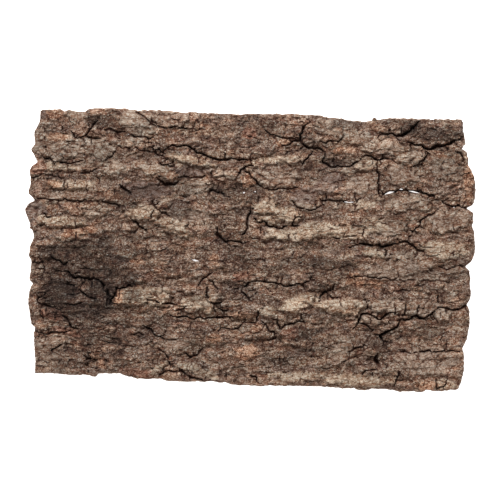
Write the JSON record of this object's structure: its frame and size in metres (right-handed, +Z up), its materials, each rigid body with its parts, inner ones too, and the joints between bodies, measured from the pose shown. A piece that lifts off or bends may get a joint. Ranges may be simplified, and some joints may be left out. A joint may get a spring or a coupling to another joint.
{
  "type": "cork bark slab",
  "caption": "Flat slab of virgin cork bark, ribbed and cracked on its outer face, that lies on its inner face.",
  "frame": {"origin": "centre of the box round the slab, on the plane it rests on", "axes": "+X along the grain, to the right in the picture; +Y across the grain, up in the picture; +Z up, out of the bark face"},
  "size_m": [0.4508, 0.2851, 0.0275],
  "materials": {
    "cork_bark": "rough, weathered cork bark, matt"
  },
  "bodies": {
    "root": {"cork_bark_slab": "cork_bark"}
  },
  "joints": []
}
